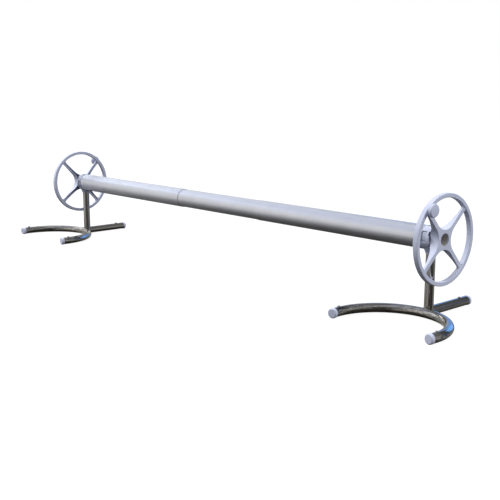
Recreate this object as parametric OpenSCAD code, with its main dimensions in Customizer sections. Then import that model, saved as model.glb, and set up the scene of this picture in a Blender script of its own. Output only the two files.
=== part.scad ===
// Telescopic pool cover reel: two C-foot stands carry a three-part roller between handwheels.
// X runs along the roller, Z is up, and the origin is on the ground at the centre of the footprint.

/* [Reel] */
// Distance between the posts
post_spacing = 2813; // [2250:1:3600]
// Height of the roller's axis above the ground
axis_h = 347; // [290:1:460]

/* [Roller] */
// Outer diameter of the two end tubes
tube_d = 105; // [102:0.5:110]
// Wall of the end tubes
tube_wall = 1.5; // [1:0.1:2.5]
// Length of one end tube
tube_len = 1055; // [900:1:1090]
// Radial play between the middle tube and the end tubes
slide_gap = 0.3; // [0.2:0.05:0.6]
// Wall of the middle tube
middle_wall = 1.5; // [1:0.1:2.5]
// Length of the middle tube
middle_len = 2000; // [1400:1:2300]

/* [Foot] */
// Outer diameter of the post and foot tubes
foot_d = 42.4; // [38:0.1:44]
// Wall of the post and foot tubes
foot_wall = 1.5; // [1.2:0.1:3]
// Bend radius of the bow on its centreline
bow_r = 258; // [230:1:300]
// Angle of the bow from its apex to one tube end
bow_half = 97.5; // [80:0.5:110]
// Distance from the post's axis to the bow's centreline
bow_gap = 37.8; // [35:0.1:50]
// Reach of the rear leg behind the post's axis, with its cap
leg_reach = 298; // [280:1:380]
// Distance of the rear anchor screw behind the post's axis
leg_screw_y = 228; // [120:1:229]

/* [Foot caps] */
// Diameter of a foot cap
cap_d = 45; // [44.5:0.1:48]
// Length of a cap outside its tube
cap_head = 16; // [12:0.5:24]
// Length of a cap's plug inside its tube
cap_plug = 15; // [10:1:16]
// Rounding of a cap's outer edge
cap_round = 5; // [2:0.5:8]
// Depth of the flat that a cap stands on
cap_flat = 0.8; // [0.4:0.1:1.2]

/* [Bearing housing] */
// Diameter of the housing's drum
housing_d = 107; // [104:0.5:114]
// Width of the drum along the roller
housing_w = 44; // [40:1:50]
// Thickness of the drum's outer ring
housing_ring = 8; // [6:0.5:10]
// Thickness of the web that joins ring and boss
housing_web = 8; // [5:0.5:12]
// Number of stiffening ribs in the drum
housing_ribs = 8; // [4:1:12]
// Angle that each moulded pocket covers
pocket_span = 54; // [30:1:70]
// Width of a moulded pocket
pocket_w = 26; // [16:1:30]
// Depth of a moulded pocket
pocket_depth = 4; // [2:0.5:5]
// Depth of the notches around the outboard edge
notch_depth = 5; // [2:0.5:7]
// How far the funnel reaches below the drum
funnel_drop = 14.5; // [10:0.5:24]

/* [Axle and bearing] */
// Diameter of the hollow axle
axle_d = 56; // [40:0.5:58]
// Wall of the axle
axle_wall = 2; // [1.5:0.1:4]
// Wall of the bearing bush
bush_wall = 4; // [3:0.5:5]
// Thickness of a thrust washer
washer_t = 2; // [1:0.1:3]

/* [Handwheel] */
// Outer diameter of the handwheel
wheel_d = 400; // [360:1:460]
// Distance from the post's axis to the rim's middle plane
wheel_offset = 64; // [62:0.5:80]
// Radial thickness of the rim
rim_t = 19; // [16:0.5:24]
// Width of the rim along the axle
rim_w = 25; // [20:0.5:32]
// Width of a spoke
spoke_w = 19; // [16:0.5:24]
// Depth of a spoke where it meets the rim
spoke_tip = 10; // [8:0.5:14]
// Distance from the axle to the hollow sides of the hub
hub_side = 43; // [42:0.5:50]
// How far the hub's face stands outboard of the rim's middle plane
face_out = 5; // [0:0.5:8]
// Wall of the hollow spokes and hub
wheel_wall = 3; // [2:0.25:4]
// Depth of the axle's end behind the hub's face
axle_recess = 5; // [4:0.5:14]
// Angle that the handwheels stand turned by, clockwise seen from the right end
wheel_turn = 2.5; // [-45:0.5:45]

/* [Crank knob] */
// Diameter of the knob's head
knob_d = 58; // [54:0.5:64]
// Length of the knob
knob_len = 32; // [30:0.5:60]
// Diameter of the knob's neck
knob_neck = 18; // [16:0.5:22]

/* [Fits] */
// Radial gap of a running fit
run_gap = 0.05; // [0.02:0.01:0.1]
// Radial gap of a fixed fit
fit_gap = 0.1; // [0.05:0.05:0.2]
// Gap between faces that run past each other
face_gap = 0.3; // [0.2:0.05:0.5]
// Gap left by a welded seam
weld_gap = 0.05; // [0.02:0.01:0.1]

/* [Hidden] */
$fn = 64;
FINE = 256;
RIGHT = 1;
LEFT = -1;
EPS = 0.5;

// Foot
foot_r = foot_d / 2;
foot_in_r = foot_r - foot_wall;
cap_r = cap_d / 2;
foot_z = cap_r - cap_flat;
bow_y = -(bow_gap + bow_r);
cap_lean = bow_half - 90;
front_cap_y = bow_y - bow_r * sin(cap_lean) - cap_head * cos(cap_lean);
front_reach = -front_cap_y + (cap_r - cap_round) * abs(sin(cap_lean)) + cap_round * (1 - cos(cap_lean));
reel_y = (front_reach - leg_reach) / 2;
leg_end = leg_reach - cap_head;
cope_z = foot_z + 3;
anchor_head_r = 7;
anchor_head_h = 4.5;
anchor_dome_r = 10;
anchor_shank_r = 4;
anchor_washer_r = 8.5;
anchor_washer_t = 1.2;
anchor_key_r = 3;
anchor_key_depth = 1.3;
anchor_end_z = foot_z - foot_r + 0.2;
cap_grip = 1;
cap_wall = 3;
cap_ring_w = 2;
// A straight plug needs this much play to sit in the bent tube.
cap_play = fit_gap + pow(cap_plug, 2) / (2 * bow_r);

// Places along the roller, measured outboard from the post's axis
post_x = post_spacing / 2;
washer_x = housing_w / 2 + face_gap;
boss_x = washer_x + washer_t + face_gap;
flange_t = 1.5;
tube_x = -boss_x - flange_t;
plug_ring_len = 50;
plug_boss_len = 64;
plug_end_x = -boss_x - plug_boss_len;
axle_in_x = plug_end_x + 4;
axle_out_x = wheel_offset + face_out - axle_recess;
axle_bolt_x = plug_end_x + 8;
wheel_screw_x = boss_x + 9;

// Roller
tube_r = tube_d / 2;
tube_in_r = tube_r - tube_wall;
middle_r = tube_in_r - slide_gap;
lock_pitch = 60;
lock_edge = 30;
lock_angle = -45;
lock_head_r = 5.5;
lock_head_h = 3;
lock_shank_r = 3;
lock_shank_end = 1;

// Axle and bearing
axle_r = axle_d / 2;
bush_in_r = axle_r + run_gap;
bush_r = bush_in_r + bush_wall;
bush_flange_r = bush_r + 4;
bush_flange_t = 2;
fixed_bore_r = axle_r + fit_gap;
washer_r = bush_r + 5;

// Bearing housing
housing_r = housing_d / 2;
housing_in_r = housing_r - housing_ring;
housing_boss_r = bush_r + 7.5;
housing_rib_t = 3;
housing_rib_back = 4;
pocket_x = -5;
pocket_angles = [12, 102, 192];
notch_count = 6;
notch_span = 20;
notch_angle = 28;
funnel_lip_r = foot_r + 2.6;
funnel_top_r = foot_r + 10.8;
funnel_lip_h = 4;
funnel_cone_h = 18;
funnel_bottom = -housing_r - funnel_drop;
socket_top = -housing_r - 1;
post_top_z = axis_h + socket_top - face_gap;
spigot_r = foot_in_r - fit_gap;
spigot_wall = 4;
spigot_end = funnel_bottom - 25;
housing_screw_z = funnel_bottom + 6.5;

// End plug
plug_ring_t = 3.5;
plug_boss_r = axle_r + 7;
plug_web = 6;
plug_rib_t = 3;
plug_rib_count = 6;
plug_rib_back = 6;
plug_pilot_r = plug_boss_r + 2;
plug_screw_x = tube_x - 18;
plug_screw_r = 2.5;
plug_screw_head_r = 4.5;
plug_screw_head_h = 2.6;
plug_screw_len = 8;
plug_screw_angles = [-90, 30, 150];

// Handwheel, in its own frame with Z outboard and zero at the rim's middle plane
wheel_r = wheel_d / 2;
rim_in_r = wheel_r - rim_t;
rim_mid_r = wheel_r - rim_t / 2;
rim_round = 3.5;
hub_in_z = boss_x - wheel_offset;
hub_wall_z = hub_in_z + 2;
hub_flat_r = hub_side + 6;
spoke_back_z = face_out - spoke_tip;
spoke_drop = spoke_back_z - hub_wall_z;
spoke_bend_r = (pow(rim_in_r - hub_flat_r, 2) + pow(spoke_drop, 2)) / (2 * spoke_drop);
half_spoke = spoke_w / 2;
hollow_c = (hub_side - half_spoke) / (1 - sin(45));
hollow_r = hollow_c - hub_side;
gusset_r = 12;
toe_len = 15;
toe_inset = 1;
toe_sink = 1;
toe_bite = 3;
toe_h = max(1, rim_w / 2 - rim_round - face_out - toe_inset);
gusset_c = sqrt(pow(rim_in_r - gusset_r, 2) - pow(half_spoke + gusset_r, 2));
boss_r = axle_r + 6;
knob_at = 225;
knob_r = rim_mid_r;
pad_r = 9;
pad_z = rim_w / 2 + 0.8;

// Crank knob, in the handwheel's frame
knob_z = pad_z + face_gap;
knob_top = knob_z + knob_len;
knob_head_t = 20;
knob_round = 8;
knob_flare = 10;
knob_dome_r = 150;
spindle_r = 5;
spindle_thread_r = 4;
spindle_depth = 20;
spindle_head_r = 8;
spindle_head_t = 5;
spindle_seat = knob_top - 13;
knob_plug_r = 10;
knob_plug_t = 4;

// Handwheel screws
wheel_screw_r = 4;
wheel_key_r = 2.3;
wheel_key_depth = 4;

// Cross bolts
bolt_r = 4;
bolt_hole_r = 4.2;
bolt_head_h = 5.3;
bolt_nut_h = 6.5;
bolt_hex_r = 7.5;
bolt_end = 1.5;

PLASTIC = [0.66, 0.68, 0.76];
STEEL = [0.55, 0.54, 0.52];
ALUMINIUM = [0.80, 0.81, 0.84];
DARK = [0.22, 0.22, 0.24];
ZINC = [0.70, 0.71, 0.73];

// Ground point under one post. Both stands face the same way.
module at_post(side) {
    translate([side * post_x, reel_y, 0]) children();
}

// Bearing centre of one end, with +X outboard. The left end is the right one turned half round.
module at_bearing(side) {
    translate([0, reel_y, axis_h])
        rotate([0, 0, side == RIGHT ? 0 : 180])
            translate([post_x, 0, 0]) children();
}

// Turns a shape built along Z so that it runs outboard along X.
module along_x() {
    rotate([0, 90, 0]) children();
}

// Handwheel frame: Z outboard, zero at the rim's middle plane.
module at_wheel(side) {
    at_bearing(side) translate([wheel_offset, 0, 0]) along_x() children();
}

// Turn of the handwheels, the same way for both when seen from the right end.
module turned(side) {
    rotate([0, 0, side * -wheel_turn]) children();
}

// Knob frame inside the handwheel frame.
module at_knob(side) {
    at_wheel(side) turned(side) rotate([0, 0, knob_at]) translate([knob_r, 0, 0]) children();
}

// Ring between two radii, standing on Z = 0.
module ring(r_out, r_in, h) {
    difference() {
        cylinder(h = h, r = r_out);
        translate([0, 0, -EPS]) cylinder(h = h + 2 * EPS, r = r_in);
    }
}

// Ring around the X axis from one place to another.
module ring_x(r_out, r_in, x0, x1) {
    translate([x0, 0, 0]) along_x() ring(r_out, r_in, x1 - x0);
}

// Solid disc around the X axis from one place to another.
module disc_x(r, x0, x1) {
    translate([x0, 0, 0]) along_x() cylinder(h = x1 - x0, r = r);
}

// Something pointing outwards from the X axis, at an angle from +Y towards +Z.
module radial(angle) {
    rotate([angle - 90, 0, 0]) children();
}

// Rounded rectangle centred on the origin, built from plain arcs.
module rounded_rect(w, h, r) {
    square([w - 2 * r, h], center = true);
    square([w, h - 2 * r], center = true);
    for (sx = [-1, 1], sy = [-1, 1])
        translate([sx * (w / 2 - r), sy * (h / 2 - r)]) circle(r = r);
}

// Solid bar along the bow's centreline.
module bow_bar(r) {
    translate([0, bow_y, foot_z])
        rotate([0, 0, 90 - bow_half])
            rotate_extrude(angle = 2 * bow_half, $fn = FINE) translate([bow_r, 0]) circle(r = r);
}

// Frame at each end of the bow, with Z out of the tube.
module at_bow_ends() {
    for (s = [0, 1])
        mirror([s, 0, 0])
            translate([0, bow_y, foot_z])
                rotate([0, 0, -cap_lean])
                    translate([bow_r, 0, 0]) rotate([90, 0, 0]) children();
}

// Frame at the end of the rear leg, with Z out of the tube.
module at_leg_end() {
    translate([0, leg_end, foot_z]) rotate([-90, 0, 0]) children();
}

// Ground points under the three anchor screws.
module at_anchors() {
    for (s = [-1, 1]) translate([s * bow_r, bow_y, 0]) children();
    translate([0, leg_screw_y, 0]) children();
}

module anchor_holes() {
    at_anchors() cylinder(h = 2 * foot_z + foot_r, r = anchor_shank_r + fit_gap);
}

// Upright tube, coped over the leg and the bow, with its top in the housing's socket.
module post(side) {
    color(STEEL) at_post(side) difference() {
        translate([0, 0, cope_z])
            ring(foot_r, foot_in_r, post_top_z - cope_z);
        translate([0, -foot_d, foot_z]) rotate([-90, 0, 0])
            cylinder(h = 2 * foot_d, r = foot_r + weld_gap);
        bow_bar(foot_r + weld_gap);
        translate([side * foot_r, 0, axis_h + housing_screw_z]) along_x()
            cylinder(h = foot_r, r = plug_screw_r + fit_gap, center = true);
    }
}

// Front foot tube, bent to a C that opens forwards.
module bow(side) {
    color(STEEL) at_post(side) difference() {
        translate([0, bow_y, foot_z])
            rotate([0, 0, 90 - bow_half])
                rotate_extrude(angle = 2 * bow_half, $fn = FINE) translate([bow_r, 0]) difference() {
                    circle(r = foot_r);
                    circle(r = foot_in_r);
                }
        anchor_holes();
    }
}

// Rear foot tube, coped onto the back of the bow.
module leg(side) {
    color(STEEL) at_post(side) difference() {
        translate([0, -bow_gap, foot_z]) rotate([-90, 0, 0])
            ring(foot_r, foot_in_r, leg_end + bow_gap);
        bow_bar(foot_r + weld_gap);
        anchor_holes();
    }
}

// One plastic cap: a rounded head and a ribbed hollow plug that grips the tube.
module foot_cap() {
    plug_r = foot_in_r - cap_play;
    grip_r = plug_r - cap_grip;
    difference() {
        union() {
            rotate_extrude() {
                square([cap_r - cap_round, cap_head]);
                square([cap_r, cap_head - cap_round]);
                translate([cap_r - cap_round, cap_head - cap_round]) circle(r = cap_round);
            }
            translate([0, 0, -cap_plug]) cylinder(h = cap_plug + EPS, r = grip_r);
            for (i = [1:3])
                translate([0, 0, -i * cap_plug / 4 - cap_ring_w / 2]) cylinder(h = cap_ring_w, r = plug_r);
        }
        translate([0, 0, -cap_plug - EPS]) cylinder(h = cap_plug, r = grip_r - cap_wall);
    }
}

module foot_caps(side) {
    color(PLASTIC) at_post(side) difference() {
        union() {
            at_bow_ends() foot_cap();
            at_leg_end() foot_cap();
        }
        translate([-2 * bow_r, bow_y - bow_r, -foot_d])
            cube([4 * bow_r, leg_reach - bow_y + 2 * bow_r, foot_d]);
    }
}

// Dome-headed screws through the foot tubes, for holding the reel down on a deck.
module anchor_screws(side) {
    top_z = foot_z + foot_r + weld_gap;
    head_z = top_z + anchor_washer_t;
    color(ZINC) at_post(side) at_anchors() difference() {
        union() {
            translate([0, 0, anchor_end_z]) cylinder(h = head_z - anchor_end_z, r = anchor_shank_r);
            translate([0, 0, top_z]) cylinder(h = anchor_washer_t, r = anchor_washer_r);
            translate([0, 0, head_z]) rotate_extrude() intersection() {
                square([anchor_head_r, anchor_head_h]);
                translate([0, anchor_head_h - anchor_dome_r]) circle(r = anchor_dome_r);
            }
        }
        translate([0, 0, head_z + anchor_head_h - anchor_key_depth])
            cylinder(h = anchor_head_h, r = anchor_key_r, $fn = 6);
    }
}

// Plain web, ring and boss of the housing's drum.
module housing_drum() {
    x0 = -housing_w / 2;
    ring_x(housing_r, housing_in_r, x0, -x0);
    disc_x(housing_boss_r, x0, -x0);
    disc_x(housing_in_r + EPS, x0, x0 + housing_web);
    intersection() {
        disc_x(housing_in_r + EPS, x0, -x0 - housing_rib_back);
        for (i = [0:housing_ribs - 1])
            radial(360 / housing_ribs * (i + 0.5))
                translate([x0, -housing_rib_t / 2, 0])
                    cube([housing_w, housing_rib_t, housing_r]);
    }
}

// Funnel under the drum, cut flat on both sides so that the handwheel runs clear of it.
module housing_funnel() {
    intersection() {
        translate([0, 0, funnel_bottom]) {
            cylinder(h = funnel_lip_h, r = funnel_lip_r);
            translate([0, 0, funnel_lip_h])
                cylinder(h = funnel_cone_h, r1 = funnel_lip_r, r2 = funnel_top_r);
            translate([0, 0, funnel_lip_h + funnel_cone_h])
                cylinder(h = -funnel_bottom - funnel_lip_h - funnel_cone_h - bush_r, r = funnel_top_r);
        }
        union() {
            translate([-funnel_lip_r, -foot_d, funnel_bottom])
                cube([2 * funnel_lip_r, 2 * foot_d, socket_top - funnel_bottom]);
            translate([-housing_w / 2, -foot_d, funnel_bottom])
                cube([housing_w, 2 * foot_d, -funnel_bottom - bush_r]);
        }
    }
}

// Moulded pockets around the drum and notches in its outboard edge.
module housing_recesses() {
    for (a = pocket_angles)
        translate([pocket_x - pocket_w / 2, 0, 0]) along_x()
            rotate([0, 0, 270 - a - pocket_span / 2])
                rotate_extrude(angle = pocket_span)
                    translate([housing_r - pocket_depth, 0]) square([2 * pocket_depth, pocket_w]);
    for (i = [0:notch_count - 1])
        translate([housing_w / 2 - notch_depth, 0, 0]) along_x()
            rotate([0, 0, 270 - notch_angle - notch_span / 2 + i * 360 / notch_count])
                rotate_extrude(angle = notch_span)
                    translate([housing_in_r - EPS, 0]) square([housing_ring + 2 * EPS, 2 * notch_depth]);
}

// Bearing housing: a ribbed drum with moulded pockets, a funnel over the post and a spigot inside it.
module housing(side) {
    color(PLASTIC) at_bearing(side) difference() {
        union() {
            difference() {
                union() {
                    housing_drum();
                    housing_funnel();
                }
                translate([0, 0, funnel_bottom - EPS])
                    cylinder(h = socket_top - funnel_bottom + EPS, r = foot_r + fit_gap);
            }
            translate([0, 0, spigot_end]) ring(spigot_r, spigot_r - spigot_wall, socket_top + EPS - spigot_end);
        }
        disc_x(bush_r + fit_gap, -housing_w, housing_w);
        disc_x(bush_flange_r + fit_gap, -housing_w, -housing_w / 2 + bush_flange_t);
        housing_recesses();
        translate([0, 0, housing_screw_z]) disc_x(plug_screw_r + fit_gap, spigot_r - spigot_wall - EPS, foot_d);
    }
}

// Screw through the funnel that holds the post.
module housing_screws(side) {
    color(ZINC) at_bearing(side) translate([0, 0, housing_screw_z]) {
        disc_x(plug_screw_r, spigot_r - spigot_wall, funnel_lip_r);
        disc_x(plug_screw_head_r, funnel_lip_r, funnel_lip_r + plug_screw_head_h);
    }
}

// Flanged plastic bush that the axle turns in.
module bush(side) {
    color(DARK) at_bearing(side) difference() {
        union() {
            disc_x(bush_r, -housing_w / 2, housing_w / 2);
            disc_x(bush_flange_r, -housing_w / 2, -housing_w / 2 + bush_flange_t);
        }
        disc_x(bush_in_r, -housing_w, housing_w);
    }
}

module inner_washer(side) {
    color(DARK) at_bearing(side) ring_x(washer_r, fixed_bore_r, -washer_x - washer_t, -washer_x);
}

module outer_washer(side) {
    color(DARK) at_bearing(side) ring_x(washer_r, fixed_bore_r, washer_x, washer_x + washer_t);
}

// Places of the lock screws, turned to the back of the reel on both sides.
module at_locks(side) {
    for (i = [0, 1])
        translate([tube_x - tube_len + lock_edge + i * lock_pitch, 0, 0])
            radial(side == RIGHT ? lock_angle : 180 - lock_angle) children();
}

// End tube of the roller.
module tube(side) {
    color(ALUMINIUM) at_bearing(side) difference() {
        ring_x(tube_r, tube_in_r, tube_x - tube_len, tube_x);
        for (a = plug_screw_angles)
            translate([plug_screw_x, 0, 0]) radial(a) translate([0, 0, tube_in_r - EPS])
                cylinder(h = tube_wall + 2 * EPS, r = plug_screw_head_r + fit_gap);
        at_locks(side) translate([0, 0, tube_in_r - EPS])
            cylinder(h = tube_wall + 2 * EPS, r = lock_shank_r + fit_gap);
    }
}

// Ribbed plug that joins an end tube to its axle.
module end_plug(side) {
    ring_r = tube_in_r - fit_gap;
    ring_x0 = tube_x - plug_ring_len;
    color(PLASTIC) at_bearing(side) difference() {
        union() {
            disc_x(tube_r, tube_x, -boss_x);
            disc_x(ring_r, -boss_x - plug_web, -boss_x);
            ring_x(ring_r, ring_r - plug_ring_t, ring_x0, tube_x);
            disc_x(plug_boss_r, plug_end_x, -boss_x);
            intersection() {
                disc_x(ring_r - EPS, ring_x0 + plug_rib_back, tube_x);
                for (i = [0:plug_rib_count - 1])
                    radial(360 / plug_rib_count * i)
                        translate([ring_x0, -plug_rib_t / 2, 0])
                            cube([plug_ring_len, plug_rib_t, ring_r]);
            }
        }
        disc_x(fixed_bore_r, plug_end_x - EPS, -boss_x + EPS);
        for (a = plug_screw_angles)
            translate([plug_screw_x, 0, 0]) radial(a) translate([0, 0, plug_pilot_r])
                cylinder(h = tube_r, r = plug_screw_r + fit_gap);
        translate([axle_bolt_x, 0, 0]) cylinder(h = 2 * tube_r, r = bolt_hole_r, center = true);
    }
}

// Flush screws that fix the end tube to its plug.
module plug_screws(side) {
    color(ZINC) at_bearing(side)
        for (a = plug_screw_angles)
            translate([plug_screw_x, 0, 0]) radial(a) {
                translate([0, 0, tube_in_r]) cylinder(h = tube_wall - fit_gap, r = plug_screw_head_r);
                translate([0, 0, tube_in_r - plug_screw_len])
                    cylinder(h = plug_screw_len + EPS, r = plug_screw_r);
            }
}

// Clamping screws that hold the telescope at its set length.
module lock_screws(side) {
    color(ZINC) at_bearing(side) at_locks(side) {
        translate([0, 0, tube_in_r]) cylinder(h = tube_wall + lock_shank_end, r = lock_shank_r);
        translate([0, 0, tube_r]) cylinder(h = lock_head_h, r = lock_head_r);
    }
}

// Directions of the two screws that hold the handwheel on the axle.
module at_wheel_screws() {
    for (a = [-90, 90]) translate([wheel_screw_x, 0, 0]) rotate([a, 0, 0]) children();
}

// Hollow axle, drilled for its cross bolt and for the handwheel's screws.
module axle(side) {
    color(STEEL) at_bearing(side) difference() {
        ring_x(axle_r, axle_r - axle_wall, axle_in_x, axle_out_x);
        translate([axle_bolt_x, 0, 0]) cylinder(h = 2 * axle_d, r = bolt_hole_r, center = true);
        at_wheel_screws() cylinder(h = boss_r, r = wheel_screw_r + fit_gap);
    }
}

// Hexagon bolt along Z through a boss of the given radius, head at the bottom.
module cross_bolt(r) {
    translate([0, 0, -r - bolt_head_h]) cylinder(h = bolt_head_h, r = bolt_hex_r, $fn = 6);
    translate([0, 0, -r - 1]) cylinder(h = 2 * r + 1 + bolt_nut_h + bolt_end, r = bolt_r);
}

module cross_nut(r) {
    translate([0, 0, r]) difference() {
        cylinder(h = bolt_nut_h, r = bolt_hex_r, $fn = 6);
        translate([0, 0, -EPS]) cylinder(h = bolt_nut_h + 2 * EPS, r = bolt_r + fit_gap / 2);
    }
}

module axle_bolt(side) {
    color(ZINC) at_bearing(side) translate([axle_bolt_x, 0, 0]) cross_bolt(plug_boss_r + fit_gap);
}

module axle_nut(side) {
    color(ZINC) at_bearing(side) translate([axle_bolt_x, 0, 0]) cross_nut(plug_boss_r + fit_gap);
}

// Outline of the spokes and the hub between them, drawn in from its edge by a wall.
// The hub is a square standing on its corner, with a round hollow taken out of each corner.
module star(inset, reach) {
    half = half_spoke - inset;
    for (a = [45:90:315]) rotate([0, 0, a]) translate([0, -half]) square([reach, 2 * half]);
    difference() {
        rotate([0, 0, 45]) square(2 * hollow_c * cos(45), center = true);
        for (a = [0:90:270]) rotate([0, 0, a]) translate([hollow_c, 0]) circle(r = hollow_r + inset);
    }
}

// Fillets where a spoke runs into the rim.
module gussets() {
    side_y = half_spoke + gusset_r;
    for (a = [45:90:315]) rotate([0, 0, a]) difference() {
        translate([gusset_c, -side_y]) square([rim_mid_r - gusset_c, 2 * side_y]);
        for (s = [-1, 1]) translate([gusset_c, s * side_y]) circle(r = gusset_r);
    }
}

// Solid rim with a seat for the knob.
module wheel_rim() {
    rotate_extrude() translate([rim_mid_r, 0]) rounded_rect(rim_t, rim_w, rim_round);
    rotate([0, 0, knob_at]) translate([knob_r, 0, 0]) cylinder(h = pad_z, r = pad_r);
}

// Spokes and hub before they are hollowed. Their backs sweep down from the rim to the hub.
module wheel_star() {
    intersection() {
        translate([0, 0, hub_wall_z]) linear_extrude(height = face_out - hub_wall_z) {
            star(0, rim_mid_r);
            gussets();
        }
        rotate_extrude() difference() {
            translate([0, hub_wall_z]) square([rim_mid_r, face_out - hub_wall_z]);
            translate([rim_in_r, spoke_back_z - spoke_bend_r]) circle(r = spoke_bend_r, $fn = FINE);
        }
    }
}

// Ramps at the outer ends of the spokes, which rise out of the face and run into the rim.
module spoke_toes() {
    slope = toe_h / toe_len;
    end = toe_len + toe_bite;
    for (a = [45:90:315])
        rotate([0, 0, a]) translate([rim_in_r - toe_len, 0, face_out]) rotate([90, 0, 0])
            linear_extrude(height = spoke_w - 2 * toe_inset, center = true)
                polygon([[-toe_sink / slope, -toe_sink], [end, end * slope], [end, -toe_sink]]);
}

// Space inside the spokes and the hub, open at the back and kept clear of the boss.
module wheel_hollow() {
    difference() {
        translate([0, 0, hub_wall_z - EPS])
            linear_extrude(height = face_out - wheel_wall - hub_wall_z + EPS)
                star(wheel_wall, rim_in_r - wheel_wall);
        translate([0, 0, hub_wall_z - 2 * EPS]) cylinder(h = wheel_offset, r = boss_r);
    }
}

// Handwheel: a solid rim on four channel spokes that deepen into a hollow hub with a boss.
module handwheel(side) {
    color(PLASTIC) difference() {
        at_wheel(side) turned(side) difference() {
            union() {
                wheel_rim();
                wheel_star();
                spoke_toes();
                translate([0, 0, hub_in_z]) cylinder(h = -hub_in_z, r = boss_r);
            }
            wheel_hollow();
            translate([0, 0, hub_in_z - EPS]) cylinder(h = wheel_offset, r = fixed_bore_r);
            rotate([0, 0, knob_at]) translate([knob_r, 0, pad_z - spindle_depth])
                cylinder(h = spindle_depth + EPS, r = spindle_thread_r + fit_gap);
        }
        at_bearing(side) at_wheel_screws() cylinder(h = boss_r + EPS, r = wheel_screw_r + fit_gap);
    }
}

// Socket screws through the hub's boss into the axle's wall.
module wheel_screws(side) {
    color(ZINC) at_bearing(side) at_wheel_screws() difference() {
        translate([0, 0, axle_r - axle_wall])
            cylinder(h = boss_r - axle_r + axle_wall, r = wheel_screw_r);
        translate([0, 0, boss_r - wheel_key_depth])
            cylinder(h = wheel_key_depth + EPS, r = wheel_key_r, $fn = 6);
    }
}

// Slightly domed outline of the knob's face.
module knob_dome() {
    translate([0, knob_top - knob_dome_r]) circle(r = knob_dome_r, $fn = FINE);
}

// Half section of the knob: collar, neck, flare and rounded head.
module knob_section() {
    head_r = knob_d / 2;
    neck_r = knob_neck / 2;
    head_z = knob_top - knob_head_t;
    translate([0, knob_z]) square([neck_r, knob_len - knob_head_t]);
    difference() {
        translate([0, head_z - knob_flare]) square([neck_r + knob_flare, knob_flare + knob_round]);
        translate([neck_r + knob_flare, head_z - knob_flare]) circle(r = knob_flare);
    }
    translate([0, head_z]) square([head_r - knob_round, knob_head_t]);
    translate([0, head_z + knob_round]) square([head_r, knob_head_t - 2 * knob_round]);
    translate([head_r - knob_round, head_z + knob_round]) circle(r = knob_round);
    translate([head_r - knob_round, knob_top - knob_round]) circle(r = knob_round);
}

// Turning crank knob.
module knob(side) {
    color(PLASTIC) at_knob(side) difference() {
        rotate_extrude() intersection() {
            knob_section();
            knob_dome();
        }
        translate([0, 0, knob_z - EPS]) cylinder(h = knob_len, r = spindle_r + run_gap);
        translate([0, 0, spindle_seat - face_gap]) cylinder(h = knob_len, r = spindle_head_r + face_gap);
        translate([0, 0, knob_top - knob_plug_t - fit_gap]) cylinder(h = knob_len, r = knob_plug_r + fit_gap);
    }
}

// Shouldered spindle screwed into the rim.
module knob_spindle(side) {
    color(ZINC) at_knob(side) {
        translate([0, 0, pad_z - spindle_depth + fit_gap]) cylinder(h = spindle_depth, r = spindle_thread_r);
        translate([0, 0, pad_z]) cylinder(h = spindle_seat - pad_z + 1, r = spindle_r);
        translate([0, 0, spindle_seat]) cylinder(h = spindle_head_t, r = spindle_head_r);
    }
}

// Plug that closes the knob's face over the spindle's head.
module knob_plug(side) {
    color(PLASTIC) at_knob(side) rotate_extrude() intersection() {
        translate([0, knob_top - knob_plug_t]) square([knob_plug_r, knob_plug_t]);
        knob_dome();
    }
}

// Middle tube of the roller, which slides in both end tubes.
module middle_tube() {
    color(ALUMINIUM) translate([0, reel_y, axis_h])
        ring_x(middle_r, middle_r - middle_wall, -middle_len / 2, middle_len / 2);
}

post(RIGHT);  // right_post
bow(RIGHT);  // right_bow
leg(RIGHT);  // right_leg
foot_caps(RIGHT);  // right_foot_caps
anchor_screws(RIGHT);  // right_anchor_screws
housing(RIGHT);  // right_housing
housing_screws(RIGHT);  // right_housing_screws
bush(RIGHT);  // right_bush
inner_washer(RIGHT);  // right_inner_washer
outer_washer(RIGHT);  // right_outer_washer
tube(RIGHT);  // right_tube
end_plug(RIGHT);  // right_end_plug
plug_screws(RIGHT);  // right_plug_screws
lock_screws(RIGHT);  // right_lock_screws
axle(RIGHT);  // right_axle
axle_bolt(RIGHT);  // right_axle_bolt
axle_nut(RIGHT);  // right_axle_nut
handwheel(RIGHT);  // right_handwheel
wheel_screws(RIGHT);  // right_wheel_screws
knob(RIGHT);  // right_knob
knob_spindle(RIGHT);  // right_knob_spindle
knob_plug(RIGHT);  // right_knob_plug
post(LEFT);  // left_post
bow(LEFT);  // left_bow
leg(LEFT);  // left_leg
foot_caps(LEFT);  // left_foot_caps
anchor_screws(LEFT);  // left_anchor_screws
housing(LEFT);  // left_housing
housing_screws(LEFT);  // left_housing_screws
bush(LEFT);  // left_bush
inner_washer(LEFT);  // left_inner_washer
outer_washer(LEFT);  // left_outer_washer
tube(LEFT);  // left_tube
end_plug(LEFT);  // left_end_plug
plug_screws(LEFT);  // left_plug_screws
lock_screws(LEFT);  // left_lock_screws
axle(LEFT);  // left_axle
axle_bolt(LEFT);  // left_axle_bolt
axle_nut(LEFT);  // left_axle_nut
handwheel(LEFT);  // left_handwheel
wheel_screws(LEFT);  // left_wheel_screws
knob(LEFT);  // left_knob
knob_spindle(LEFT);  // left_knob_spindle
knob_plug(LEFT);  // left_knob_plug
middle_tube();
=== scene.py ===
# %% [markdown]
# A telescopic pool cover reel: two stands of bent steel tube carry a long aluminium roller, and a
# spoked handwheel with a crank knob turns it at each end. Its solids come from the CAD frame at
# their real size, in metres, so this script gives them their finishes, adds the weld seams, and
# lights and frames the reel.

import math

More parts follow.
